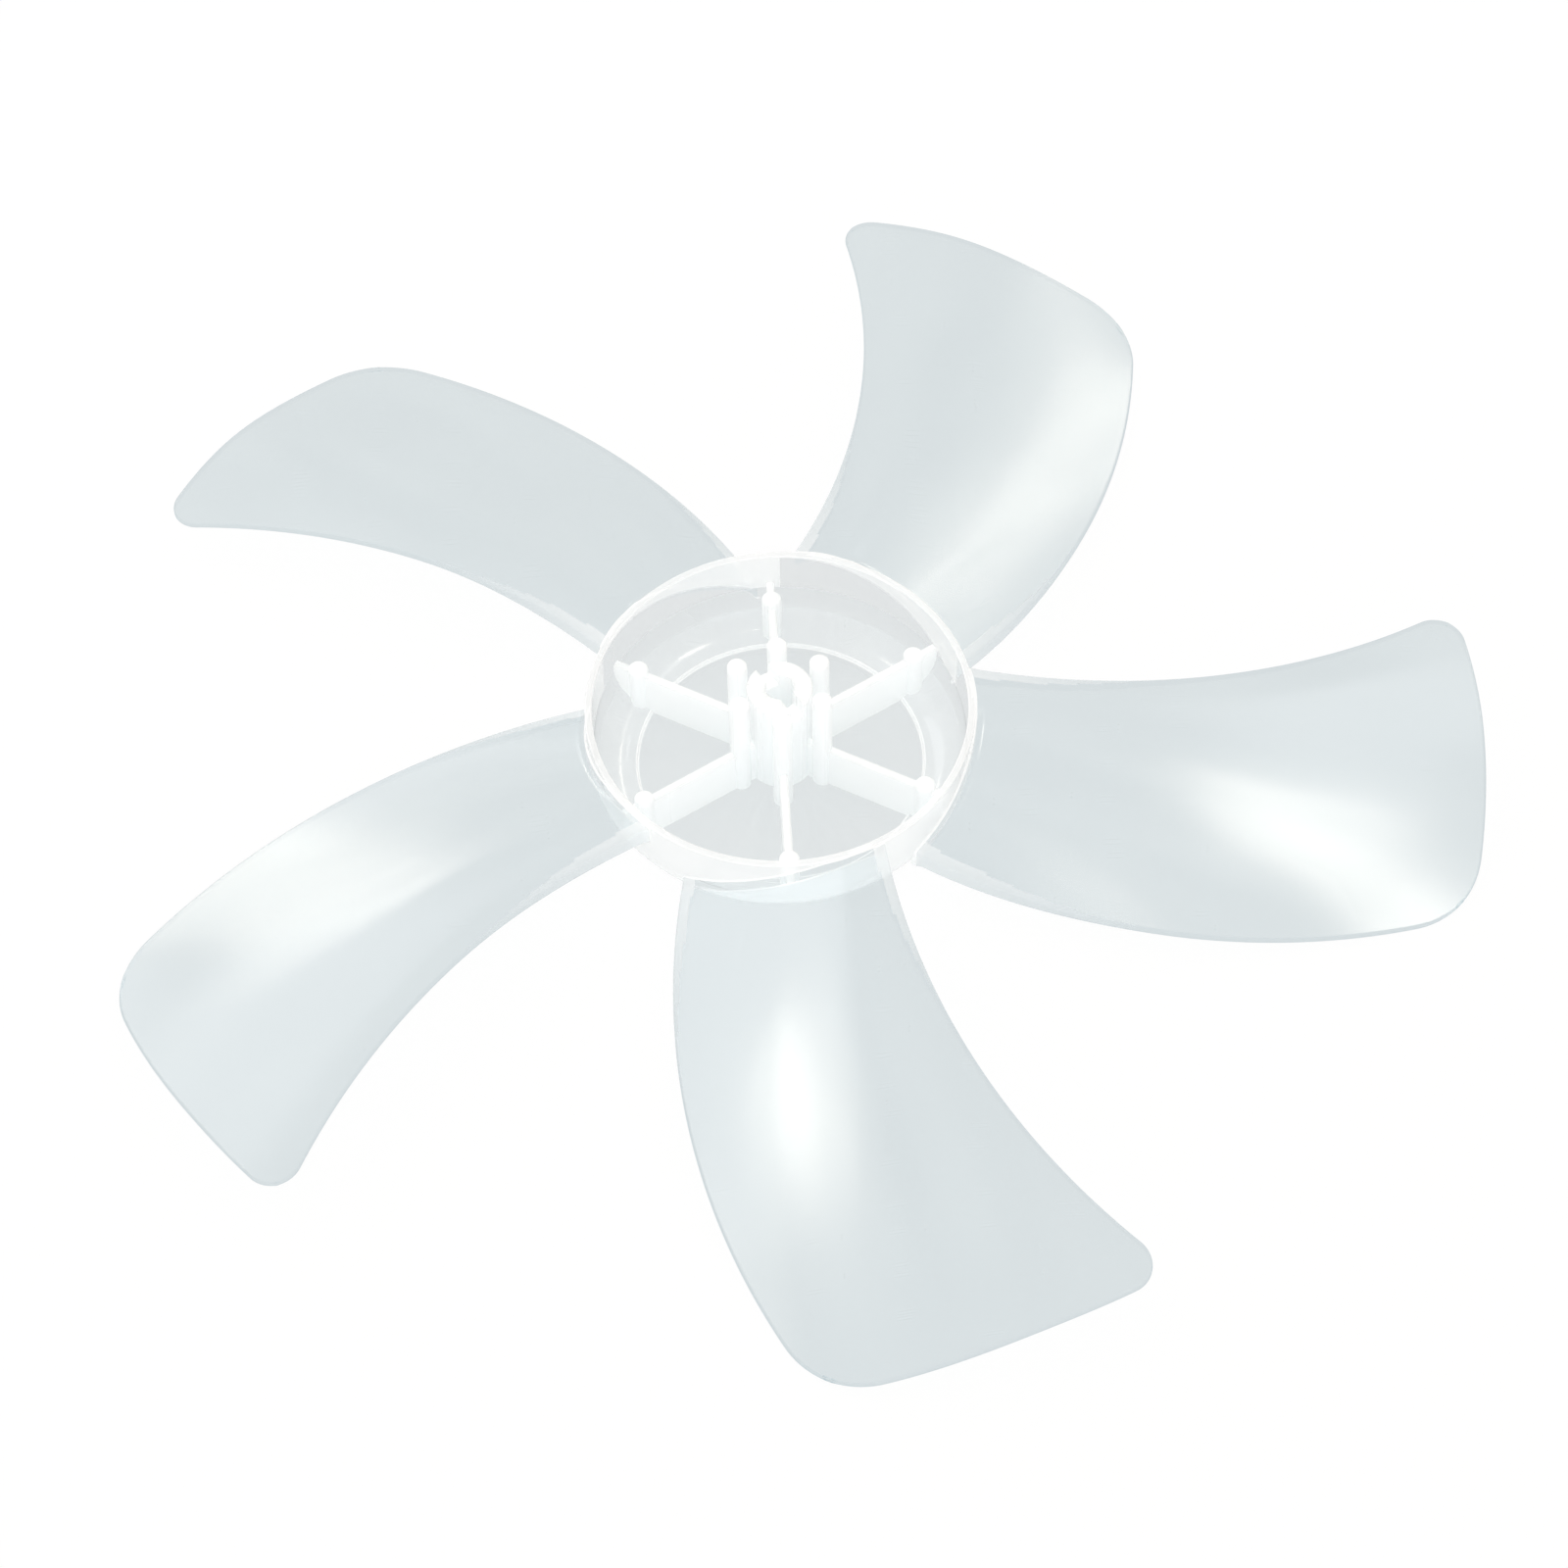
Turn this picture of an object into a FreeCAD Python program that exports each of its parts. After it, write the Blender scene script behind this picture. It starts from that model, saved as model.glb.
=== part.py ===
import FreeCAD, Part
import math
import os

from FreeCAD import Vector

# One-piece moulded impeller of a pedestal fan: a bowl-shaped hub with a flat nose,
# six stiffening ribs and a long shaft boss inside, and five swept, cambered blades.
# Millimetres. The Z axis is the shaft axis, z = 0 is the face of the nose, and the
# open side of the hub looks up. Angles run anticlockwise seen from the open side.

# Overall
TIP_RADIUS = 195.0
BLADE_COUNT = 5

# Hub bowl
HUB_RADIUS = 53.6
RIM_HEIGHT = 28.4
WALL = 2.0
SHOULDER_RADIUS = 13.6
NOSE_STEP = 1.0

# Shaft boss and the slot for the cross pin of the motor shaft
SHAFT_DIAMETER = 8.0
SHAFT_CLEARANCE = 0.1
BOSS_WALL = 5.0
BOSS_HEIGHT = 36.2
PIN_DIAMETER = 4.0
PIN_CLEARANCE = 0.2
PIN_SLOT_DEPTH = 4.5

# Ribs and the round ejector posts that stand in them
RIB_COUNT = 6
RIB_ANGLE = 30.0
RIB_THICKNESS = 2.4
RIB_HEIGHT = 17.0
POST_DIAMETER = 5.5
OUTER_POST_PROUD = 1.8
OUTER_POST_WALL_GAP = 4.5
INNER_POST_PROUD = 2.2
INNER_POST_BOSS_GAP = 1.2

# Blade outline, seen along the shaft: two edges of round arcs, a tip and rounded corners
LEADING_ROOT_ANGLE = 82.4
LEADING_TIP_ANGLE = 81.8
LEADING_ARC_RADIUS = 193.0
TRAILING_ROOT_ANGLE = 21.6
TRAILING_TIP_ANGLE = 53.8
TRAILING_ARC_RADIUS = 194.5
LEADING_CORNER_RADIUS = 8.0
TRAILING_CORNER_RADIUS = 26.0

# Blade section, at the hub, half way out and at the tip
LEADING_DROP = (0.4, 7.3, 14.9)
PITCH_DROP = (14.5, 16.8, 14.5)
THICKNESS = (2.8, 2.0, 1.6)
# Camber at shares of the chord from the leading edge, in those three sections
CAMBER_LINE = (
    (0.0, (0.0, 0.0, 0.0)),
    (0.2, (3.2, 3.45, 3.1)),
    (0.4, (3.3, 3.75, 4.8)),
    (0.6, (2.5, 2.8, 3.7)),
    (0.8, (1.1, 1.55, 1.6)),
    (1.0, (0.0, 0.0, 0.0)),
)

# The blade's surfaces pass through sections this far along the span, and are carried past
# its outline at the root, the tip and both edges before they are trimmed
SPAN_SHARES = (-0.1, 0.0, 0.5, 1.0, 1.05)
CHORD_OVERRUN = 0.1

bore_radius = (SHAFT_DIAMETER + SHAFT_CLEARANCE) / 2
boss_radius = bore_radius + BOSS_WALL
post_radius = POST_DIAMETER / 2
nose_radius = HUB_RADIUS - SHOULDER_RADIUS
inner_post_at = boss_radius + INNER_POST_BOSS_GAP + post_radius
outer_post_at = HUB_RADIUS - WALL - OUTER_POST_WALL_GAP - post_radius
axis = Vector(0, 0, 1)


def along_span(values, share):
    """Value at a share of the span, on a parabola through those at hub, middle and tip."""
    hub, middle, tip = values
    bow = middle - (hub + tip) / 2
    return hub + share * (tip - hub) + 4 * bow * share * (1 - share)


def camber(span_share, chord_share):
    """Camber at shares of the span and the chord, straight on past either end of the chord."""
    pairs = zip(CAMBER_LINE, CAMBER_LINE[1:])
    for (start, low_sections), (end, high_sections) in pairs:
        if chord_share <= end:
            break
    low = along_span(low_sections, span_share)
    high = along_span(high_sections, span_share)
    return low + (chord_share - start) / (end - start) * (high - low)


def polar(radius, degrees, z=0.0):
    turn = math.radians(degrees)
    return Vector(radius * math.cos(turn), radius * math.sin(turn), z)


def around(shape, count, first_angle):
    """Copies of a shape, turned evenly about the shaft axis."""
    copies = []
    for index in range(count):
        turned = shape.copy()
        turned.rotate(Vector(), axis, first_angle + index * 360.0 / count)
        copies.append(turned)
    return copies


def bowl(inset, top):
    """The bowl's solid form, set in from its outside by an amount, and filled up to a height."""
    arc_centre_z = NOSE_STEP + SHOULDER_RADIUS
    arc_radius = SHOULDER_RADIUS - inset
    diagonal = arc_radius * math.sqrt(0.5)
    step_top = Vector(nose_radius, 0, arc_centre_z - arc_radius)
    arc_mid = Vector(nose_radius + diagonal, 0, arc_centre_z - diagonal)
    wall_foot = Vector(nose_radius + arc_radius, 0, arc_centre_z)
    shoulder = Part.Arc(step_top, arc_mid, wall_foot).toShape()
    outside = Part.makePolygon([
        wall_foot,
        Vector(wall_foot.x, 0, top),
        Vector(0, 0, top),
        Vector(0, 0, inset),
        Vector(nose_radius, 0, inset),
        step_top,
    ])
    profile = Part.Wire(outside.Edges + [shoulder])
    return Part.Face(profile).revolve(Vector(), axis, 360)


def post(at, height):
    """A round post standing on the nose."""
    return Part.makeCylinder(post_radius, height, Vector(at, 0, 0))


def rib_with_posts():
    """One rib along +X from the boss to the wall, with its two posts."""
    rib = Part.makeBox(HUB_RADIUS, RIB_THICKNESS, RIB_HEIGHT, Vector(0, -RIB_THICKNESS / 2, 0))
    outer_post = post(outer_post_at, RIB_HEIGHT + OUTER_POST_PROUD)
    inner_post = post(inner_post_at, BOSS_HEIGHT + INNER_POST_PROUD)
    return rib.fuse([outer_post, inner_post])


def pin_slot():
    """The slot across the top of the boss, between two pairs of ribs."""
    width = PIN_DIAMETER + PIN_CLEARANCE
    length = 2 * inner_post_at
    slot = Part.makeBox(length, width, PIN_SLOT_DEPTH)
    slot.translate(Vector(-length / 2, -width / 2, BOSS_HEIGHT - PIN_SLOT_DEPTH))
    slot.rotate(Vector(), axis, RIB_ANGLE + 1.5 * 360.0 / RIB_COUNT)
    return slot


def hub():
    """The bowl with its even wall, the ribs and posts, and the bored and slotted boss."""
    shell = bowl(0.0, RIM_HEIGHT).cut(bowl(WALL, RIM_HEIGHT))
    inside = bowl(WALL / 2, BOSS_HEIGHT + INNER_POST_PROUD)
    ribs = [rib.common(inside) for rib in around(rib_with_posts(), RIB_COUNT, RIB_ANGLE)]
    boss = Part.makeCylinder(boss_radius, BOSS_HEIGHT)
    bore = Part.makeCylinder(bore_radius, BOSS_HEIGHT)
    return shell.fuse([boss] + ribs).cut([bore, pin_slot()]).removeSplitter()


def span_radius(share):
    return HUB_RADIUS + share * (TIP_RADIUS - HUB_RADIUS)


def edge_angle(root_angle, tip_angle, arc_radius, radius):
    """Angle at which an edge's arc, from the hub to the tip circle, crosses a radius."""
    root = polar(HUB_RADIUS, root_angle)
    tip = polar(TIP_RADIUS, tip_angle)
    chord = tip - root
    sideways = axis.cross(chord).normalize()
    centre = (root + tip) / 2 + sideways * math.sqrt(arc_radius ** 2 - (chord.Length / 2) ** 2)
    reach = centre.Length
    cosine = (radius ** 2 + reach ** 2 - arc_radius ** 2) / (2 * radius * reach)
    return math.degrees(math.atan2(centre.y, centre.x) - math.acos(cosine))


def leading_angle(radius):
    return edge_angle(LEADING_ROOT_ANGLE, LEADING_TIP_ANGLE, LEADING_ARC_RADIUS, radius)


def trailing_angle(radius):
    return edge_angle(TRAILING_ROOT_ANGLE, TRAILING_TIP_ANGLE, TRAILING_ARC_RADIUS, radius)


def surface_point(span_share, chord_share, thickness_share):
    """A point of the blade at shares of the span, the chord and the thickness."""
    radius = span_radius(span_share)
    leading = leading_angle(radius)
    angle = leading + chord_share * (trailing_angle(radius) - leading)
    height = RIM_HEIGHT - along_span(LEADING_DROP, span_share)
    height -= chord_share * along_span(PITCH_DROP, span_share)
    height += camber(span_share, chord_share)
    height -= thickness_share * along_span(THICKNESS, span_share)
    return polar(radius, angle, height)


def blade_surface(thickness_share):
    """The blade's upper (0) or lower (1) surface, carried past its outline all round."""
    chords = [-CHORD_OVERRUN] + [share for share, sections in CAMBER_LINE] + [1 + CHORD_OVERRUN]
    surface = Part.BSplineSurface()
    surface.interpolate([[surface_point(s, c, thickness_share) for c in chords] for s in SPAN_SHARES])
    return surface.toShape()


def arc(angle_at):
    """An edge's arc in plan, from inside the hub to the tip circle."""
    radii = [span_radius(share) for share in (SPAN_SHARES[0], 0.5, 1.0)]
    return Part.Arc(*[polar(radius, angle_at(radius)) for radius in radii]).toShape()


def blade_outline():
    """The blade's outline seen along the shaft, as a tall prism with rounded tip corners."""
    leading = arc(leading_angle)
    trailing = arc(trailing_angle)
    leading_tip = polar(TIP_RADIUS, LEADING_TIP_ANGLE)
    trailing_tip = polar(TIP_RADIUS, TRAILING_TIP_ANGLE)
    tip_middle = polar(TIP_RADIUS, (LEADING_TIP_ANGLE + TRAILING_TIP_ANGLE) / 2)
    tip = Part.Arc(leading_tip, tip_middle, trailing_tip).toShape()
    root = Part.makeLine(leading.Vertexes[0].Point, trailing.Vertexes[0].Point)
    face = Part.Face(Part.Wire(Part.__sortEdges__([leading, tip, trailing, root])))
    prism = face.extrude(axis * 2 * TIP_RADIUS)
    prism.translate(axis * -TIP_RADIUS)
    for corner, radius in ((leading_tip, LEADING_CORNER_RADIUS), (trailing_tip, TRAILING_CORNER_RADIUS)):
        uprights = [edge for edge in prism.Edges if stands_at(edge, corner)]
        prism = prism.makeFillet(radius, uprights)
    return prism


def stands_at(edge, corner):
    """Whether an edge is upright over a point of the outline."""
    middle = edge.CenterOfMass
    return math.hypot(middle.x - corner.x, middle.y - corner.y) < Part.Precision.confusion()


def blade():
    """One blade, trimmed at the middle of the hub's wall."""
    below_upper = blade_surface(0.0).extrude(axis * -TIP_RADIUS)
    above_lower = blade_surface(1.0).extrude(axis * TIP_RADIUS)
    sheet = blade_outline().common(below_upper).common(above_lower)
    return sheet.cut(bowl(WALL / 2, RIM_HEIGHT + TIP_RADIUS))


def impeller():
    return hub().fuse(around(blade(), BLADE_COUNT, 0.0)).removeSplitter()


def main():
    os.makedirs("parts", exist_ok=True)
    shape = impeller()
    shape.exportStep("parts/impeller.step")
    print("solids %d, valid %s, volume %.1f mm3" % (len(shape.Solids), shape.isValid(), shape.Volume))


main()
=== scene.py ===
"""Looks of a clear moulded pedestal fan blade: one moulding, a pale floor, soft studio light."""

import cmath
import math

import bmesh
import bpy
import numpy as np
from mathutils import Matrix, Quaternion, Vector


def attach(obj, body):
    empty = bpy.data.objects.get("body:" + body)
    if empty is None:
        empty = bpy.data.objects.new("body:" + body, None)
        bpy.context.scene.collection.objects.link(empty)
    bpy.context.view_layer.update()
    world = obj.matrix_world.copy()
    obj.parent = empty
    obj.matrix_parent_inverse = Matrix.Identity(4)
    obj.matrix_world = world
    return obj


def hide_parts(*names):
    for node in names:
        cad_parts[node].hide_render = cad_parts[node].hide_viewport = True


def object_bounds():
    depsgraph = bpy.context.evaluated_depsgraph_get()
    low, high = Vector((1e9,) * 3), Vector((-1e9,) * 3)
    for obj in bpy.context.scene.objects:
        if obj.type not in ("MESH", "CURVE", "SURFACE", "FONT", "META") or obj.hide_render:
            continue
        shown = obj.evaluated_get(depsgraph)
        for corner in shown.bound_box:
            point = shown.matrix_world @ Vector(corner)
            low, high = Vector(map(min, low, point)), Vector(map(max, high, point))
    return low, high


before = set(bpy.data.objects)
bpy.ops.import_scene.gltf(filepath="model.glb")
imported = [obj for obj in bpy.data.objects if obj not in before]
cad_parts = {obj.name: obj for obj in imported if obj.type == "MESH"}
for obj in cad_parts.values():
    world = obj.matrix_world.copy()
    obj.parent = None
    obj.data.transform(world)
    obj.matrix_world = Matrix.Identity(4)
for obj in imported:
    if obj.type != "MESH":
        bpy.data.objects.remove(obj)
cad_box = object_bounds()

# Lengths are in metres and angles in degrees, as in the part: Z is the shaft, the nose is at z = 0

# Hub bowl
HUB_RADIUS = 0.0536
RIM_HEIGHT = 0.0284
WALL = 0.0020
SHOULDER_RADIUS = 0.0136
NOSE_STEP = 0.0010
RIM_ROUND = 0.0004
NOSE_ROUND = 0.00045
ROUND_STEPS = 180
SHOULDER_STEPS = 12
NOSE_RADIUS = HUB_RADIUS - SHOULDER_RADIUS

# Boss, ribs and ejector posts
BORE_RADIUS = 0.00405
BOSS_RADIUS = 0.00905
BOSS_HEIGHT = 0.0362
PIN_SLOT_WIDTH = 0.0042
PIN_SLOT_DEPTH = 0.0045
PIN_SLOT_ANGLE = 120.0
RIB_COUNT = 6
RIB_ANGLE = 30.0
RIB_THICKNESS = 0.0024
RIB_HEIGHT = 0.0170
POST_RADIUS = 0.00275
OUTER_POST_AT = 0.04435
OUTER_POST_TOP = 0.0188
INNER_POST_AT = 0.0130
INNER_POST_TOP = 0.0384
RIB_ROUND = 0.0005
POST_ROUND = 0.0007
BOSS_STEPS = 72
BORE_STEPS = 48
POST_STEPS = 36

# Blades
BLADE_COUNT = 5
TIP_RADIUS = 0.195
LEADING_EDGE = (82.4, 81.8, 0.193)
TRAILING_EDGE = (21.6, 53.8, 0.1945)
LEADING_CORNER = 0.008
TRAILING_CORNER = 0.026
LEADING_DROP = (0.0004, 0.0073, 0.0149)
PITCH_DROP = (0.0145, 0.0168, 0.0145)
THICKNESS = (0.0028, 0.0020, 0.0016)
CAMBER_AT = (0.0, 0.2, 0.4, 0.6, 0.8, 1.0)
CAMBER_HUB = (0.0, 0.0032, 0.0033, 0.0025, 0.0011, 0.0)
CAMBER_MIDDLE = (0.0, 0.00345, 0.00375, 0.0028, 0.00155, 0.0)
CAMBER_TIP = (0.0, 0.0031, 0.0048, 0.0037, 0.0016, 0.0)
EDGE_ROUND = 0.0005
CHORD_STEPS = 44
SPAN_STEPS = 76

# Thicker edges of the blades near the hub, and the small round where a blade meets the hub
BEAD_DEPTH = 0.0026
BEAD_WIDTH = 0.0034
BEAD_REACH = 0.45
ROOT_ROUND = 0.0011
ROOT_LINE = 0.0006
ROOT_BEAD_ANGLE = 4.5
CROWDING = 0.6

# How near counts as the same height or ring, how level a flat face is, and how steep or level the
# faces at a blade's edge are
SAME_HEIGHT = 1e-5
SAME_RING = 3e-4
FLAT = 0.99
STEEP = 0.3
LEVEL = 0.7
SMOOTH_ANGLE = 32.0

# Marks of the moulding in its finish
FLOW_LINES = 9.0
FLOW_LENGTH = 14.0
CLOUD_SCALE = 28.0
SPECK_CELLS = 140.0
SPECK_SIZE = 0.05
SPECK_RARITY = 0.9
HAIRLINE_CELLS = 45.0
HAIRLINE_STRETCH = 25
HAIRLINE_SIZE = 0.12
HAIRLINE_RARITY = 0.93
BUMP_DEPTH = 0.00006

# The plastic: its share of haze, what it leaves of the lamps' light, and its tints
CLEAR_HAZE = (0.45, 0.75)
MILKY_HAZE = (0.985, 1.0)
HAZE_ROUGHNESS = 0.6
PLASTIC_IOR = 1.5
CLEAR_TO_LAMPS = (0.94, 0.955, 0.96)
MILKY_TO_LAMPS = (0.9, 0.915, 0.92)
# Far out on the blades the lips keep this share of their milky finish; nearer the hub it is partly
# painted highlight.
LIP_MILK_AND_HIGHLIGHT_FAR_OUT = 0.15
# Below the line where the blades meet the hub, the inner wall gets less milk and shows greyer:
# painted shade of the blades, with a soft edge.
MILK_IN_PAINTED_ROOT_SHADE = 0.2
ROOT_SHADE_SOFTNESS = 0.0005
COLOURLESS = (1.0, 1.0, 1.0)
BLADE_FILM = (0.915, 0.945, 0.957)
FLOOR_FILM = (0.985, 0.99, 0.992)
SHOULDER_FILM = (0.995, 0.998, 1.0)
BLADE_MILK = (0.90, 0.93, 0.94)
BOWL_MILK = (0.94, 0.96, 0.965)
WALL_MILK = (0.95, 0.97, 0.975)
RIB_MILK = (0.893, 0.913, 0.92)
# The rounds of the rim, nose step, rib and boss tops and the blades' roots get a whiter milky finish:
# painted highlight of the bright lines along them.
EDGE_PAINTED_HIGHLIGHT_MILK = (0.97, 0.98, 0.98)

# The moulding's material slots
SHEET, LIP, FLOOR, SHOULDER, SIDE, INSIDE, THICK, EDGE = range(8)


def deselect_all():
    if bpy.context.object and bpy.context.object.mode != "OBJECT":
        bpy.ops.object.mode_set(mode="OBJECT")
    bpy.ops.object.select_all(action="DESELECT")


def pick(piece):
    """Makes a piece the only selected one, and the active one."""
    deselect_all()
    piece.select_set(True)
    bpy.context.view_layer.objects.active = piece


def select_edges(piece, wanted):
    """In edit mode, selects the edges that a test accepts."""
    bpy.ops.mesh.select_mode(type="EDGE")
    bpy.ops.mesh.select_all(action="DESELECT")
    shape = bmesh.from_edit_mesh(piece.data)
    for edge in shape.edges:
        edge.select_set(wanted(edge))
    bmesh.update_edit_mesh(piece.data)


def select_faces(piece, wanted):
    """In edit mode, selects the faces that a test accepts."""
    bpy.ops.mesh.select_mode(type="FACE")
    bpy.ops.mesh.select_all(action="DESELECT")
    shape = bmesh.from_edit_mesh(piece.data)
    for face in shape.faces:
        face.select_set(wanted(face))
    bmesh.update_edit_mesh(piece.data)


def level_edge(height, radius):
    """A test for edges of a ring: level at a height, and at a distance from the shaft axis."""
    def wanted(edge):
        level = all(abs(v.co.z - height) < SAME_HEIGHT for v in edge.verts)
        return level and all(abs(v.co.xy.length - radius) < SAME_RING for v in edge.verts)
    return wanted


def level_face(height, up):
    """A test for flat faces at a height that look up or down."""
    def wanted(face):
        at_height = abs(face.calc_center_median().z - height) < SAME_HEIGHT
        return at_height and face.normal.z * (1 if up else -1) > FLAT
    return wanted


def round_edges(offset, segments, material=-1):
    bpy.ops.mesh.bevel(
        offset=offset, offset_type="OFFSET", segments=segments, profile=0.5,
        affect="EDGES", clamp_overlap=False, material=material)


def extrude_down(depth):
    bpy.ops.mesh.extrude_region_move(TRANSFORM_OT_translate={"value": (0, 0, -depth)})


def set_slot(piece, slot):
    """Gives a piece all the moulding's finishes, and one of them to all its faces."""
    piece.data.materials.clear()
    for finish in finishes:
        piece.data.materials.append(finish)
    for face in piece.data.polygons:
        face.material_index = slot


def round_block(name, radius, bottom, top, steps, slot):
    """A cylinder on the shaft axis between two heights."""
    deselect_all()
    bpy.ops.mesh.primitive_cylinder_add(
        vertices=steps, radius=radius, depth=top - bottom, location=(0, 0, (top + bottom) / 2))
    bpy.ops.object.transform_apply(location=True)
    piece = bpy.context.object
    piece.name = name
    set_slot(piece, slot)
    return piece


def combine(piece, tool, operation):
    """Joins a tool to a piece, cuts it out, or keeps what they share. The tool is used up."""
    pick(piece)
    joint = piece.modifiers.new("combine", "BOOLEAN")
    joint.operation = operation
    joint.solver = "MANIFOLD"
    joint.object = tool
    bpy.ops.object.modifier_apply(modifier=joint.name)
    bpy.data.objects.remove(tool)


def turned_copy(piece, angle):
    """A copy with its own mesh, turned about the shaft axis."""
    pick(piece)
    bpy.ops.object.duplicate(linked=False)
    copy = bpy.context.object
    copy.rotation_euler.z = math.radians(angle)
    bpy.ops.object.transform_apply(rotation=True)
    return copy


def filled_bowl(name, inset, top):
    """The bowl's filled form, set in from its outside: rounded shoulder, then the flat nose."""
    foot = NOSE_STEP + inset
    piece = round_block(name, HUB_RADIUS - inset, foot, top, ROUND_STEPS, THICK)
    pick(piece)
    bpy.ops.object.mode_set(mode="EDIT")
    select_edges(piece, level_edge(foot, HUB_RADIUS - inset))
    round_edges(SHOULDER_RADIUS - inset, SHOULDER_STEPS)
    select_faces(piece, level_face(foot, up=False))
    extrude_down(NOSE_STEP)
    bpy.ops.object.mode_set(mode="OBJECT")
    return piece


def hub_bowl():
    """The bowl with its even wall: hollowed from the top, with a rounded rim and nose step."""
    piece = filled_bowl("hub_bowl", 0.0, RIM_HEIGHT)
    pick(piece)
    bpy.ops.object.mode_set(mode="EDIT")
    select_faces(piece, level_face(RIM_HEIGHT, up=True))
    bpy.ops.mesh.inset(thickness=WALL, depth=0.0)
    floor_edge = NOSE_STEP + WALL
    extrude_down(RIM_HEIGHT - floor_edge)
    select_edges(piece, level_edge(floor_edge, HUB_RADIUS - WALL))
    round_edges(SHOULDER_RADIUS - WALL, SHOULDER_STEPS)
    select_faces(piece, level_face(floor_edge, up=True))
    extrude_down(NOSE_STEP)
    for height in (0.0, NOSE_STEP, WALL, floor_edge):
        select_edges(piece, level_edge(height, NOSE_RADIUS))
        round_edges(NOSE_ROUND, 2, EDGE)
    for radius in (HUB_RADIUS, HUB_RADIUS - WALL):
        select_edges(piece, level_edge(RIM_HEIGHT, radius))
        round_edges(RIM_ROUND, 3, EDGE)
    bpy.ops.object.mode_set(mode="OBJECT")
    for face in piece.data.polygons:
        if face.material_index != EDGE:
            face.material_index = bowl_slot(face)
    return piece


def bowl_slot(face):
    """The finish of a face of the bowl: the flat nose, its step, the shoulder or the side wall."""
    if face.center.xy.length < NOSE_RADIUS - NOSE_ROUND:
        return FLOOR
    if face.center.xy.length < NOSE_RADIUS + NOSE_ROUND:
        return EDGE
    if face.center.xy.dot(face.normal.xy) > 0:
        return SIDE if face.center.z > SHOULDER_RADIUS / 2 else SHOULDER
    return INSIDE if face.center.z > NOSE_STEP + SHOULDER_RADIUS else SHOULDER


def post(name, at, top):
    """A round post in a rib, with a rounded top."""
    piece = round_block(name, POST_RADIUS, WALL / 2, top, POST_STEPS, THICK)
    pick(piece)
    bpy.ops.object.mode_set(mode="EDIT")
    select_edges(piece, level_edge(top, POST_RADIUS))
    round_edges(POST_ROUND, 4)
    bpy.ops.object.mode_set(mode="OBJECT")
    piece.location.x = at
    bpy.ops.object.transform_apply(location=True)
    return piece


def long_top_edge(edge):
    """A test for the two long edges on top of the first rib."""
    start, end = (v.co for v in edge.verts)
    on_top = min(start.z, end.z) > RIB_HEIGHT - SAME_HEIGHT
    return on_top and abs(end.x - start.x) > HUB_RADIUS / 2


def rib_with_posts():
    """One rib along +X from the boss to the wall, with its two posts."""
    deselect_all()
    height = RIB_HEIGHT - WALL / 2
    bpy.ops.mesh.primitive_cube_add(size=1, location=(HUB_RADIUS / 2, 0, WALL / 2 + height / 2))
    rib = bpy.context.object
    rib.name = "rib"
    rib.scale = (HUB_RADIUS, RIB_THICKNESS, height)
    bpy.ops.object.transform_apply(location=True, scale=True)
    set_slot(rib, THICK)
    bpy.ops.object.mode_set(mode="EDIT")
    select_edges(rib, long_top_edge)
    round_edges(RIB_ROUND, 3, EDGE)
    bpy.ops.object.mode_set(mode="OBJECT")
    combine(rib, post("outer_post", OUTER_POST_AT, OUTER_POST_TOP), "UNION")
    combine(rib, post("inner_post", INNER_POST_AT, INNER_POST_TOP), "UNION")
    combine(rib, filled_bowl("inside", WALL / 2, INNER_POST_TOP + WALL), "INTERSECT")
    return rib


def shaft_boss():
    """The boss before it is bored, with a rounded top edge."""
    boss = round_block("boss", BOSS_RADIUS, WALL / 2, BOSS_HEIGHT, BOSS_STEPS, THICK)
    pick(boss)
    bpy.ops.object.mode_set(mode="EDIT")
    select_edges(boss, level_edge(BOSS_HEIGHT, BOSS_RADIUS))
    round_edges(RIB_ROUND, 3, EDGE)
    bpy.ops.object.mode_set(mode="OBJECT")
    return boss


def pin_slot():
    """The slot across the top of the boss for the shaft's cross pin."""
    deselect_all()
    bottom = BOSS_HEIGHT - PIN_SLOT_DEPTH
    bpy.ops.mesh.primitive_cube_add(size=1, location=(0, 0, bottom + PIN_SLOT_DEPTH))
    slot = bpy.context.object
    slot.scale = (2 * INNER_POST_AT, PIN_SLOT_WIDTH, 2 * PIN_SLOT_DEPTH)
    slot.rotation_euler.z = math.radians(PIN_SLOT_ANGLE)
    bpy.ops.object.transform_apply(location=True, rotation=True, scale=True)
    set_slot(slot, THICK)
    return slot


def along_span(values, share):
    """Value at a share of the span, on a parabola through those at hub, middle and tip."""
    hub, middle, tip = values
    bow = middle - (hub + tip) / 2
    return hub + share * (tip - hub) + 4 * bow * share * (1 - share)


def smooth_slopes(at, rise):
    """Slopes, at given points, of the smooth curve through them."""
    gap = np.diff(at)
    steep = np.diff(rise) / gap
    count = len(at)
    system = np.zeros((count, count))
    target = np.zeros(count)
    system[0, :2] = 2, 1
    target[0] = 3 * steep[0]
    system[-1, -2:] = 1, 2
    target[-1] = 3 * steep[-1]
    for i in range(1, count - 1):
        system[i, i - 1:i + 2] = gap[i], 2 * (gap[i - 1] + gap[i]), gap[i - 1]
        target[i] = 3 * (gap[i] * steep[i - 1] + gap[i - 1] * steep[i])
    return np.linalg.solve(system, target)


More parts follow.
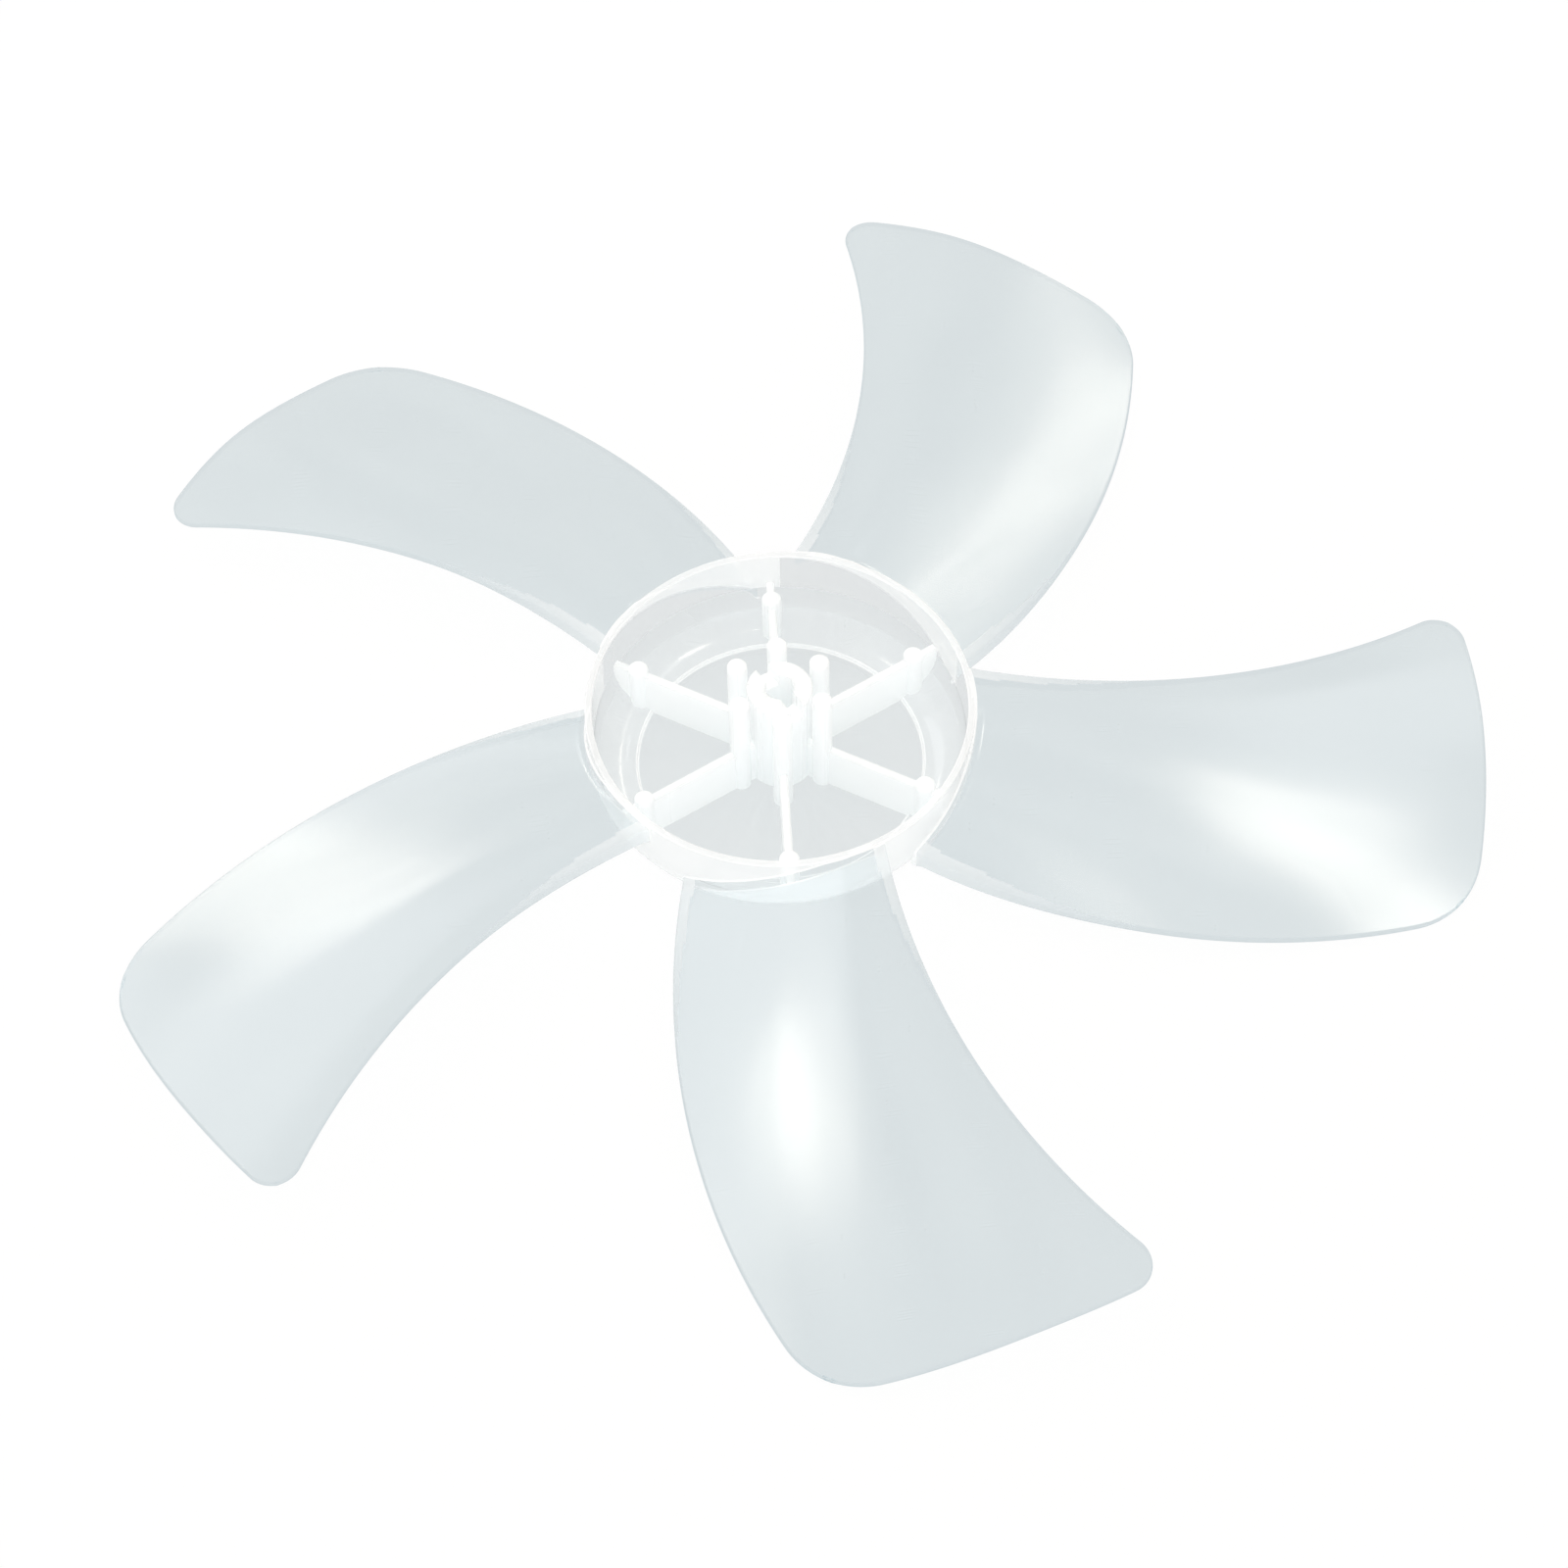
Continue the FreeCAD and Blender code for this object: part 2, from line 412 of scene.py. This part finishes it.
def smooth_curve(at, rise):
    """The smooth curve through points, as a function of the share of the chord."""
    slopes = smooth_slopes(at, rise)

    def height(share):
        index = 0
        while index < len(at) - 2 and share > at[index + 1]:
            index += 1
        gap = at[index + 1] - at[index]
        t = (share - at[index]) / gap
        climb = rise[index + 1] - rise[index]
        steep_in, steep_out = slopes[index:index + 2] * gap
        bend = 3 * climb - 2 * steep_in - steep_out
        twist = steep_in + steep_out - 2 * climb
        return rise[index] + t * (steep_in + t * (bend + t * twist))
    return height


camber_lines = [smooth_curve(CAMBER_AT, rise) for rise in (CAMBER_HUB, CAMBER_MIDDLE, CAMBER_TIP)]


def polar(radius, angle):
    return cmath.rect(radius, math.radians(angle))


def edge_centre(edge):
    """Centre of the round arc of a blade's edge, in plan."""
    root_angle, tip_angle, arc_radius = edge
    root = polar(HUB_RADIUS, root_angle)
    tip = polar(TIP_RADIUS, tip_angle)
    chord = tip - root
    rise = math.sqrt(arc_radius ** 2 - abs(chord / 2) ** 2)
    return (root + tip) / 2 + 1j * chord / abs(chord) * rise


def crossing(centre, radius, reach):
    """Where a circle about a centre crosses a circle about the shaft axis, on the blade's side."""
    away = abs(centre)
    cosine = (reach ** 2 + away ** 2 - radius ** 2) / (2 * reach * away)
    return cmath.rect(reach, cmath.phase(centre) - math.acos(cosine))


def edge_angle(edge, radius):
    return math.degrees(cmath.phase(crossing(edge_centre(edge), edge[2], radius)))


def arc(centre, start, end):
    """A round arc in plan: its centre, its start from there, and how far it turns."""
    return centre, start - centre, cmath.phase((end - centre) / (start - centre))


def along(arcs, share):
    """The point at a share of the length of a chain of arcs."""
    left = share * sum(abs(start) * abs(turn) for centre, start, turn in arcs)
    for centre, start, turn in arcs:
        length = abs(start) * abs(turn)
        here = min(left / length, 1.0)
        if here < 1.0:
            break
        left -= length
    return centre + start * cmath.rect(1, turn * here)


def edge_side(edge, corner_radius, inward):
    """One edge of the blade, from inside the hub's wall to the middle of its tip corner, and
    the half of the corner that goes on to the tip circle."""
    centre = edge_centre(edge)
    root = crossing(centre, edge[2], HUB_RADIUS - WALL / 2)
    corner = crossing(centre, edge[2] + inward * corner_radius, TIP_RADIUS - corner_radius)
    on_edge = centre + (corner - centre) / abs(corner - centre) * edge[2]
    on_tip = corner / abs(corner) * TIP_RADIUS
    middle = along([arc(corner, on_edge, on_tip)], 0.5)
    side = [arc(centre, root, on_edge), arc(corner, on_edge, middle)]
    return side, arc(corner, middle, on_tip), root, middle, on_tip


leading_side, leading_corner, leading_root, leading_middle, leading_tip = edge_side(
    LEADING_EDGE, LEADING_CORNER, 1)
trailing_side, trailing_corner, trailing_root, trailing_middle, trailing_tip = edge_side(
    TRAILING_EDGE, TRAILING_CORNER, -1)
root_side = [arc(0, leading_root, trailing_root)]
tip_side = [
    leading_corner,
    arc(0, leading_tip, trailing_tip),
    arc(trailing_corner[0], trailing_tip, trailing_middle),
]


def sheet_point(across, out):
    """A point of the blade's outline filled in: shares from leading to trailing, root to tip."""
    sides = (1 - across) * along(leading_side, out) + across * along(trailing_side, out)
    ends = (1 - out) * along(root_side, across) + out * along(tip_side, across)
    corners = (1 - out) * ((1 - across) * leading_root + across * trailing_root)
    corners += out * ((1 - across) * leading_middle + across * trailing_middle)
    return sides + ends - corners


def crowded(share):
    """A share moved towards the nearer end, so that lines of the grid crowd at the edges."""
    return share - CROWDING * math.sin(2 * math.pi * share) / (2 * math.pi)


def fade(value, reach):
    """From 1 at 0, smoothly down to 0 at a reach."""
    left = max(0.0, 1.0 - value / reach)
    return left * left * (3 - 2 * left)


def place_on_blade(point):
    """Shares of the span and the chord at a point in plan, and how far in from an edge it is."""
    radius = abs(point)
    span = (radius - HUB_RADIUS) / (TIP_RADIUS - HUB_RADIUS)
    leading = edge_angle(LEADING_EDGE, radius)
    trailing = edge_angle(TRAILING_EDGE, radius)
    chord = (math.degrees(cmath.phase(point)) - leading) / (trailing - leading)
    to_edge = math.radians(leading - trailing) * radius * max(0.0, 0.5 - abs(chord - 0.5))
    return span, chord, to_edge


def sheet_height(point, thickness_share):
    """Height of the blade's upper (0) or lower (1) surface over a point in plan."""
    span, chord, to_edge = place_on_blade(point)
    height = RIM_HEIGHT - along_span(LEADING_DROP, span) - chord * along_span(PITCH_DROP, span)
    height += along_span([line(chord) for line in camber_lines], span)
    height -= thickness_share * along_span(THICKNESS, span)
    root_round = ROOT_ROUND * fade(abs(point) - HUB_RADIUS, 2 * ROOT_ROUND)
    if thickness_share == 0:
        return min(height + root_round, max(height, RIM_HEIGHT - RIM_ROUND))
    bead = BEAD_DEPTH * fade(to_edge, BEAD_WIDTH) * fade(max(span, 0.0), BEAD_REACH)
    return height - root_round - bead


def outer_edge(edge):
    """A test for the blade's edges between a side and a broad face, except inside the hub."""
    if max(v.co.xy.length for v in edge.verts) < HUB_RADIUS - WALL / 2 + SAME_HEIGHT:
        return False
    tilts = sorted(abs(face.normal.z) for face in edge.link_faces)
    return tilts[0] < STEEP and tilts[-1] > LEVEL


def blade():
    """One blade: a grid drawn out to its outline, lifted to its twist and camber, and given its
    thickness and its rounded edges."""
    deselect_all()
    bpy.ops.mesh.primitive_grid_add(x_subdivisions=CHORD_STEPS, y_subdivisions=SPAN_STEPS, size=1)
    piece = bpy.context.object
    piece.name = "blade"
    set_slot(piece, SHEET)
    for vertex in piece.data.vertices:
        point = sheet_point(crowded(vertex.co.x + 0.5), crowded(vertex.co.y + 0.5))
        vertex.co = (point.real, point.imag, sheet_height(point, 1))
    bpy.ops.object.mode_set(mode="EDIT")
    bpy.ops.mesh.select_all(action="SELECT")
    bpy.ops.mesh.extrude_region_move(TRANSFORM_OT_translate={"value": (0, 0, THICKNESS[0])})
    shape = bmesh.from_edit_mesh(piece.data)
    for vertex in shape.verts:
        if vertex.select:
            vertex.co.z = sheet_height(complex(vertex.co.x, vertex.co.y), 0)
    bmesh.update_edit_mesh(piece.data)
    bpy.ops.mesh.select_all(action="SELECT")
    bpy.ops.mesh.normals_make_consistent(inside=False)

    select_edges(piece, outer_edge)
    round_edges(EDGE_ROUND, 3, LIP)
    bpy.ops.object.mode_set(mode="OBJECT")
    for face in piece.data.polygons:
        span, chord, to_edge = place_on_blade(complex(face.center.x, face.center.y))
        # The faces at the root take the whiter edge finish: a painted highlight where the blade meets
        # the hub.
        if face.center.xy.length < HUB_RADIUS + ROOT_LINE:
            face.material_index = EDGE
        elif to_edge < BEAD_WIDTH * fade(span, BEAD_REACH) or abs(face.normal.z) < STEEP:
            face.material_index = LIP
    return piece


def impeller():
    """The whole moulding as one skin."""
    piece = hub_bowl()
    boss = shaft_boss()
    rib = rib_with_posts()
    for index in range(RIB_COUNT):
        combine(boss, turned_copy(rib, RIB_ANGLE + index * 360.0 / RIB_COUNT), "UNION")
    bpy.data.objects.remove(rib)
    combine(piece, boss, "UNION")
    first = blade()
    for index in range(BLADE_COUNT):
        combine(piece, turned_copy(first, index * 360.0 / BLADE_COUNT), "UNION")
    bpy.data.objects.remove(first)
    bore = round_block("bore", BORE_RADIUS, -WALL, BOSS_HEIGHT + WALL, BORE_STEPS, THICK)
    combine(piece, bore, "DIFFERENCE")
    combine(piece, pin_slot(), "DIFFERENCE")
    pick(piece)
    piece.name = "fan_blade_moulding"
    bpy.ops.object.shade_smooth_by_angle(angle=math.radians(SMOOTH_ANGLE))
    even = piece.modifiers.new("even_shading", "WEIGHTED_NORMAL")
    even.keep_sharp = True
    bpy.ops.object.modifier_apply(modifier=even.name)
    return piece


def add(tree, kind, **settings):
    """A new node of a tree, with its own settings."""
    made = tree.nodes.new("ShaderNode" + kind)
    for name, value in settings.items():
        setattr(made, name, value)
    return made


def math_node(tree, operation, first, second):
    """A sum of two values, each a number or another node's output."""
    made = add(tree, "Math", operation=operation)
    for socket, value in zip(made.inputs, (first, second)):
        if isinstance(value, (int, float)):
            socket.default_value = value
        else:
            tree.links.new(value, socket)
    return made.outputs[0]


def mapped(tree, value, from_low, from_high, to_low, to_high):
    """A value moved from one range to another, and held inside it."""
    made = add(tree, "MapRange")
    tree.links.new(value, made.inputs["Value"])
    made.inputs["From Min"].default_value = from_low
    made.inputs["From Max"].default_value = from_high
    made.inputs["To Min"].default_value = to_low
    made.inputs["To Max"].default_value = to_high
    return made.outputs[0]


def scaled(tree, vector, scale):
    """A vector multiplied by a number for each axis."""
    made = add(tree, "VectorMath", operation="MULTIPLY")
    tree.links.new(vector, made.inputs[0])
    made.inputs[1].default_value = scale
    return made.outputs[0]


def sparse_spots(tree, vector, size, rarity):
    """A mask of small spots, one in some of the cells of a random pattern."""
    cells = add(tree, "TexVoronoi", feature="F1", voronoi_dimensions="2D")
    cells.inputs["Scale"].default_value = 1.0
    tree.links.new(vector, cells.inputs["Vector"])
    near = math_node(tree, "LESS_THAN", cells.outputs["Distance"], size)
    split = add(tree, "SeparateColor")
    tree.links.new(cells.outputs["Color"], split.inputs[0])
    chosen = math_node(tree, "GREATER_THAN", split.outputs[0], rarity)
    return math_node(tree, "MULTIPLY", near, chosen)


def moulding_marks():
    """Marks of the moulding: streaks of flow out from the gate, uneven haze, hairlines and specks."""
    group = bpy.data.node_groups.new("moulding_marks", "ShaderNodeTree")
    for name in ("Haze Low", "Haze High", "Gloss Roughness"):
        group.interface.new_socket(name, in_out="INPUT", socket_type="NodeSocketFloat")
    for name in ("Haze", "Roughness", "Height"):
        group.interface.new_socket(name, in_out="OUTPUT", socket_type="NodeSocketFloat")
    given = group.nodes.new("NodeGroupInput")
    result = group.nodes.new("NodeGroupOutput")
    place = add(group, "TexCoord").outputs["Object"]
    flat = scaled(group, place, (1, 1, 0))
    reach = add(group, "VectorMath", operation="LENGTH")
    group.links.new(flat, reach.inputs[0])
    heading = add(group, "VectorMath", operation="NORMALIZE")
    group.links.new(flat, heading.inputs[0])
    painted_light_mask = scaled(group, heading.outputs[0], (FLOW_LINES, FLOW_LINES, 0))
    lengthwise = add(group, "CombineXYZ")
    outwards = math_node(group, "MULTIPLY", reach.outputs["Value"], FLOW_LENGTH)
    group.links.new(outwards, lengthwise.inputs["Z"])
    course = add(group, "VectorMath", operation="ADD")
    group.links.new(painted_light_mask, course.inputs[0])
    group.links.new(lengthwise.outputs[0], course.inputs[1])
    flow = add(group, "TexNoise")
    flow.inputs["Scale"].default_value = 1.0
    flow.inputs["Detail"].default_value = 1.0
    group.links.new(course.outputs[0], flow.inputs["Vector"])
    cloud = add(group, "TexNoise", noise_dimensions="2D")
    cloud.inputs["Scale"].default_value = CLOUD_SCALE
    cloud.inputs["Detail"].default_value = 1.0
    group.links.new(place, cloud.inputs["Vector"])
    streaks = mapped(group, flow.outputs[0], 0.35, 0.7, 0.0, 1.0)
    unevenness = math_node(group, "MULTIPLY", math_node(group, "ADD", streaks, cloud.outputs[0]), 0.5)
    specks = sparse_spots(group, scaled(group, place, (SPECK_CELLS,) * 3), SPECK_SIZE, SPECK_RARITY)
    drawn_out = scaled(group, place, (HAIRLINE_CELLS, HAIRLINE_STRETCH * HAIRLINE_CELLS, 0))
    hairlines = sparse_spots(group, drawn_out, HAIRLINE_SIZE, HAIRLINE_RARITY)
    marks = math_node(group, "MAXIMUM", specks, hairlines)
    even = add(group, "Mix", data_type="FLOAT")
    group.links.new(unevenness, even.inputs["Factor"])
    group.links.new(given.outputs["Haze Low"], even.inputs["A"])
    group.links.new(given.outputs["Haze High"], even.inputs["B"])
    haze = math_node(group, "MAXIMUM", even.outputs[0], marks)
    group.links.new(haze, result.inputs["Haze"])
    wear = mapped(group, unevenness, 0.2, 0.8, 0.85, 1.2)
    rough = math_node(group, "MULTIPLY", given.outputs["Gloss Roughness"], wear)
    group.links.new(rough, result.inputs["Roughness"])
    group.links.new(cloud.outputs[0], result.inputs["Height"])
    return group


def outer_share(tree, share):
    """A share on the outer side of the plastic, and none where the plastic is left again."""
    outer = math_node(tree, "SUBTRACT", 1.0, add(tree, "NewGeometry").outputs["Backfacing"])
    return math_node(tree, "MULTIPLY", outer, share)


def mixed(tree, share, first, second):
    mix = add(tree, "MixShader")
    if isinstance(share, float):
        mix.inputs["Fac"].default_value = share
    else:
        tree.links.new(share, mix.inputs["Fac"])
    tree.links.new(first.outputs[0], mix.inputs[1])
    tree.links.new(second.outputs[0], mix.inputs[2])
    return mix


def new_finish(name, haze, gloss_roughness):
    """An empty material, with the moulding's marks and a slight unevenness of the surface."""
    finish = bpy.data.materials.new(name)
    finish.use_nodes = True
    tree = finish.node_tree
    tree.nodes.clear()
    detail = add(tree, "Group", node_tree=marks_group)
    detail.inputs["Haze Low"].default_value = haze[0]
    detail.inputs["Haze High"].default_value = haze[1]
    detail.inputs["Gloss Roughness"].default_value = gloss_roughness
    bump = add(tree, "Bump")
    bump.inputs["Distance"].default_value = BUMP_DEPTH
    tree.links.new(detail.outputs["Height"], bump.inputs["Height"])
    return finish, tree, detail, bump


def film_shader(tree, film):
    """What shows through the plastic, with its tint."""
    through = add(tree, "BsdfTransparent")
    through.inputs["Color"].default_value = (*film, 1)
    return through


def finish_up(tree, shader, to_lamps):
    """Puts a shader out. The light of the lamps passes the plastic with only a slight loss."""
    path = add(tree, "LightPath")
    whole = mixed(tree, path.outputs["Is Shadow Ray"], shader, film_shader(tree, to_lamps))
    output = add(tree, "OutputMaterial")
    tree.links.new(whole.outputs[0], output.inputs["Surface"])


def clear_finish(name, film, haze_share, milk, gloss_roughness):
    """Clear plastic of a thin wall: a tinted see-through film, a share of milky haze, and gloss."""
    finish, tree, detail, bump = new_finish(name, CLEAR_HAZE, gloss_roughness)
    body = add(tree, "BsdfPrincipled")
    body.inputs["Base Color"].default_value = (*milk, 1)
    body.inputs["Roughness"].default_value = HAZE_ROUGHNESS
    body.inputs["Specular IOR Level"].default_value = 0.0
    tree.links.new(detail.outputs["Haze"], body.inputs["Alpha"])
    gloss = add(tree, "BsdfGlossy")
    tree.links.new(detail.outputs["Roughness"], gloss.inputs["Roughness"])
    tree.links.new(bump.outputs[0], gloss.inputs["Normal"])
    fresnel = add(tree, "Fresnel")
    fresnel.inputs["IOR"].default_value = PLASTIC_IOR
    cloudy = mixed(tree, haze_share, film_shader(tree, film), body)
    shiny = mixed(tree, outer_share(tree, fresnel.outputs[0]), cloudy, gloss)
    finish_up(tree, shiny, CLEAR_TO_LAMPS)
    return finish


def lip_milk_and_highlight_near_hub(tree):
    """From 1 at the hub's wall down to little where the thicker edges of the blades end: partly the
    thicker plastic's own milk, partly painted highlight of the bright edges.
    """
    place = add(tree, "TexCoord").outputs["Object"]
    distance = add(tree, "VectorMath", operation="LENGTH")
    tree.links.new(scaled(tree, place, (1, 1, 0)), distance.inputs[0])
    bead_end = HUB_RADIUS + BEAD_REACH * (TIP_RADIUS - HUB_RADIUS)
    return mapped(tree, distance.outputs["Value"], HUB_RADIUS, bead_end, 1.0, LIP_MILK_AND_HIGHLIGHT_FAR_OUT)


def painted_root_shade_mask(tree):
    """Painted shade of the blades on the hub's inner wall: 1 above the line where the blades meet it,
    and between the blades, less below that line.
    """
    split = add(tree, "SeparateXYZ")
    tree.links.new(add(tree, "TexCoord").outputs["Object"], split.inputs[0])
    angle = math_node(tree, "ARCTAN2", split.outputs["Y"], split.outputs["X"])
    from_trailing = math_node(tree, "SUBTRACT", angle, math.radians(TRAILING_EDGE[0]))
    part = math_node(tree, "FLOORED_MODULO", from_trailing, 2 * math.pi / BLADE_COUNT)
    root = math.radians(LEADING_EDGE[0] - TRAILING_EDGE[0])
    leading_height = RIM_HEIGHT - LEADING_DROP[0]
    slope = mapped(tree, part, 0.0, root, leading_height - PITCH_DROP[0], leading_height)
    share = mapped(tree, part, 0.0, root, 0.0, 1.0)
    hump = math_node(tree, "MULTIPLY", share, math_node(tree, "SUBTRACT", 1.0, share))
    camber = math_node(tree, "MULTIPLY", hump, 4 * max(CAMBER_HUB))
    over = math_node(tree, "SUBTRACT", split.outputs["Z"], math_node(tree, "ADD", slope, camber))
    above = mapped(tree, over, -ROOT_SHADE_SOFTNESS, ROOT_SHADE_SOFTNESS, MILK_IN_PAINTED_ROOT_SHADE, 1.0)
    bead_end = root + math.radians(ROOT_BEAD_ANGLE)
    return math_node(tree, "MAXIMUM", above, math_node(tree, "GREATER_THAN", part, bead_end))


def milky_finish(name, film, body_share, milk, depth, gloss_roughness, painted_light_mask=None):
    """Thicker plastic: light spreads inside it, and a share passes straight through."""
    finish, tree, detail, bump = new_finish(name, MILKY_HAZE, gloss_roughness)
    body = add(tree, "BsdfPrincipled")
    body.inputs["Base Color"].default_value = (*milk, 1)
    body.inputs["Subsurface Weight"].default_value = 1.0
    body.inputs["Subsurface Radius"].default_value = (1, 1, 1)
    body.inputs["Subsurface Scale"].default_value = depth
    tree.links.new(detail.outputs["Haze"], body.inputs["Alpha"])
    tree.links.new(detail.outputs["Roughness"], body.inputs["Roughness"])
    tree.links.new(bump.outputs[0], body.inputs["Normal"])
    # A given mask scales the milky share: painted light, the blades' shade on the inner wall and the
    # bright lips near the hub.
    share = math_node(tree, "MULTIPLY", painted_light_mask(tree), body_share) if painted_light_mask else body_share
    cloudy = mixed(tree, outer_share(tree, share), film_shader(tree, film), body)
    finish_up(tree, cloudy, MILKY_TO_LAMPS)
    return finish


marks_group = moulding_marks()
finishes = [
    clear_finish("clear_blade", BLADE_FILM, 0.2, BLADE_MILK, 0.16),
    # The blades' lips: milky plastic, and towards the hub a painted highlight of their bright edges.
    milky_finish("blade_lip_milk_and_painted_highlight", BLADE_FILM, 0.45, WALL_MILK, 0.003, 0.2, lip_milk_and_highlight_near_hub),
    clear_finish("clear_floor", FLOOR_FILM, 0.13, BOWL_MILK, 0.14),
    clear_finish("clear_shoulder", SHOULDER_FILM, 0.25, BOWL_MILK, 0.14),
    milky_finish("milky_wall", COLOURLESS, 0.65, WALL_MILK, 0.004, 0.14),
    # The inner wall, less milky below the blades' roots: painted shade of the blades.
    milky_finish("inner_wall_painted_root_shade", COLOURLESS, 0.65, WALL_MILK, 0.004, 0.14, painted_root_shade_mask),
    milky_finish("milky_ribs", COLOURLESS, 0.92, RIB_MILK, 0.006, 0.3),
    # Painted highlight: the whiter finish of the rounded edges.
    milky_finish("edge_painted_highlight", COLOURLESS, 0.75, EDGE_PAINTED_HIGHLIGHT_MILK, 0.003, 0.3),
]
moulding = impeller()
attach(moulding, "root")
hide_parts("impeller")

# Floor and air: white to the camera and in reflections, painted greyer behind the plastic as painted
# shade, and on the floor a little of the object's shadow
FLOOR_SIZE = 8.0
FLOOR_SHADOW = 0.12
PAPER_COLOUR = (0.92, 0.92, 0.92)
PAINTED_SHADE_BEHIND_PLASTIC = (0.70, 0.725, 0.735)
AIR_STRENGTH = 0.55


def white_to_sight(tree, lit_shader, lit_share):
    """Mixes plain white into a shader for what the camera, gloss and glass see. Behind the clear
    plastic it is painted greyer: painted shade for the light that the plastic keeps off it."""
    path = add(tree, "LightPath")
    seen = path.outputs["Is Camera Ray"]
    for ray in ("Is Glossy Ray", "Is Transmission Ray"):
        seen = math_node(tree, "MAXIMUM", seen, path.outputs[ray])
    weight = math_node(tree, "MULTIPLY", seen, 1 - lit_share)
    shade = add(tree, "Mix", data_type="RGBA")
    # Painted shade: seen through a surface of the plastic, the white turns greyer.
    behind = math_node(tree, "MINIMUM", path.outputs["Transparent Depth"], 1.0)
    tree.links.new(behind, shade.inputs["Factor"])
    shade.inputs["A"].default_value = (1, 1, 1, 1)
    shade.inputs["B"].default_value = (*PAINTED_SHADE_BEHIND_PLASTIC, 1)
    white = add(tree, "Emission" if lit_share else "Background")
    white.inputs["Strength"].default_value = 1.0
    tree.links.new(shade.outputs["Result"], white.inputs["Color"])
    return mixed(tree, weight, lit_shader, white)


def studio_floor():
    deselect_all()
    bpy.ops.mesh.primitive_plane_add(size=FLOOR_SIZE, location=(0, 0, cad_box[0][2]))
    floor = bpy.context.object
    bpy.ops.object.transform_apply(location=True)
    floor.name = "studio_floor"
    paper = bpy.data.materials.new("white_paper")
    paper.use_nodes = True
    paper.cycles.emission_sampling = "NONE"
    tree = paper.node_tree
    tree.nodes.clear()
    output = add(tree, "OutputMaterial")
    lit = add(tree, "BsdfDiffuse")
    lit.inputs["Color"].default_value = (*PAPER_COLOUR, 1)
    mix = white_to_sight(tree, lit, FLOOR_SHADOW)
    tree.links.new(mix.outputs[0], output.inputs["Surface"])
    floor.data.materials.append(paper)


def direction(azimuth, elevation):
    turn = math.radians(azimuth)
    lift = math.radians(elevation)
    return Vector((math.cos(turn) * math.cos(lift), math.sin(turn) * math.cos(lift), math.sin(lift)))


LAMP_DISTANCE = 4.0
WARM = (1.0, 0.93, 0.82)
WHITE = (1.0, 1.0, 1.0)


def softbox(name, azimuth, elevation, wide, tall, tilt, radiance, colour):
    """A far soft area lamp that looks at the hub: its direction, size and tilt are in degrees."""
    lamp = bpy.data.lights.new(name, "AREA")
    lamp.shape = "RECTANGLE"
    lamp.size = 2 * LAMP_DISTANCE * math.tan(math.radians(wide / 2))
    lamp.size_y = 2 * LAMP_DISTANCE * math.tan(math.radians(tall / 2))
    lamp.energy = radiance * math.pi * lamp.size * lamp.size_y
    lamp.color = colour
    box = bpy.data.objects.new(name, lamp)
    bpy.context.scene.collection.objects.link(box)
    away = direction(azimuth, elevation)
    box.location = away * LAMP_DISTANCE
    turn = Quaternion((0, 0, 1), math.radians(tilt))
    box.rotation_euler = (away.to_track_quat("Z", "Y") @ turn).to_euler()


def studio_light():
    softbox("left_softbox", 160, 59.3, 10, 4.2, 63, 13.0, WARM)
    softbox("right_softbox", 45, 33, 45, 5, -52, 7.2, WARM)
    softbox("top_softbox", -2, 68, 6.5, 8, -12, 13.5, WARM)
    softbox("top_strip", -58, 75.5, 5.5, 2.2, -27, 9.0, WARM)
    softbox("back_softbox", 119.5, 22.5, 7.2, 18, -3, 5.6, WARM)
    softbox("back_panel", 140, 44, 32, 40, -12, 2.2, WHITE)
    softbox("low_panel", 109.5, 6.3, 26, 13, 32, 1.6, WHITE)
    softbox("side_panel", 35.5, 60, 36, 7, -36, 2.2, WHITE)
    softbox("front_panel", -92, 20, 70, 30, 0, 2.1, WHITE)
    world = bpy.data.worlds.new("studio_air")
    bpy.context.scene.world = world
    world.use_nodes = True
    tree = world.node_tree
    tree.nodes.clear()
    output = add(tree, "OutputWorld")
    air = add(tree, "Background")
    air.inputs["Color"].default_value = (1, 1, 1, 1)
    air.inputs["Strength"].default_value = AIR_STRENGTH
    mix = white_to_sight(tree, air, 0.0)
    tree.links.new(mix.outputs[0], output.inputs["Surface"])


# Camera, at the photograph's viewing angle
CAMERA_AZIMUTH = -92.4
CAMERA_ELEVATION = 54.683
CAMERA_DISTANCE = 1.15214
CAMERA_ROLL = -0.982
CAMERA_AIM = (0.0, 0.0, -0.0083)
CAMERA_LENS = 94.066
CAMERA_SHIFT = (0.00179, -0.00143)


def studio_camera():
    data = bpy.data.cameras.new("studio_camera")
    data.sensor_width = 36.0
    data.lens = CAMERA_LENS
    data.shift_x, data.shift_y = CAMERA_SHIFT
    camera = bpy.data.objects.new("studio_camera", data)
    bpy.context.scene.collection.objects.link(camera)
    back = direction(CAMERA_AZIMUTH, CAMERA_ELEVATION)
    right = Vector((0, 0, 1)).cross(back).normalized()
    up = back.cross(right)
    stand = Matrix((right, up, back)).transposed().to_4x4()
    place = Matrix.Translation(Vector(CAMERA_AIM) + back * CAMERA_DISTANCE)
    camera.matrix_world = place @ stand @ Matrix.Rotation(math.radians(CAMERA_ROLL), 4, "Z")
    bpy.context.scene.camera = camera


studio_floor()
studio_light()
studio_camera()
bpy.context.scene.view_settings.view_transform = "Standard"
light_paths = bpy.context.scene.cycles
light_paths.transparent_max_bounces = 24
light_paths.max_bounces = 6
light_paths.diffuse_bounces = 3
light_paths.glossy_bounces = 2
light_paths.caustics_reflective = False
light_paths.caustics_refractive = False
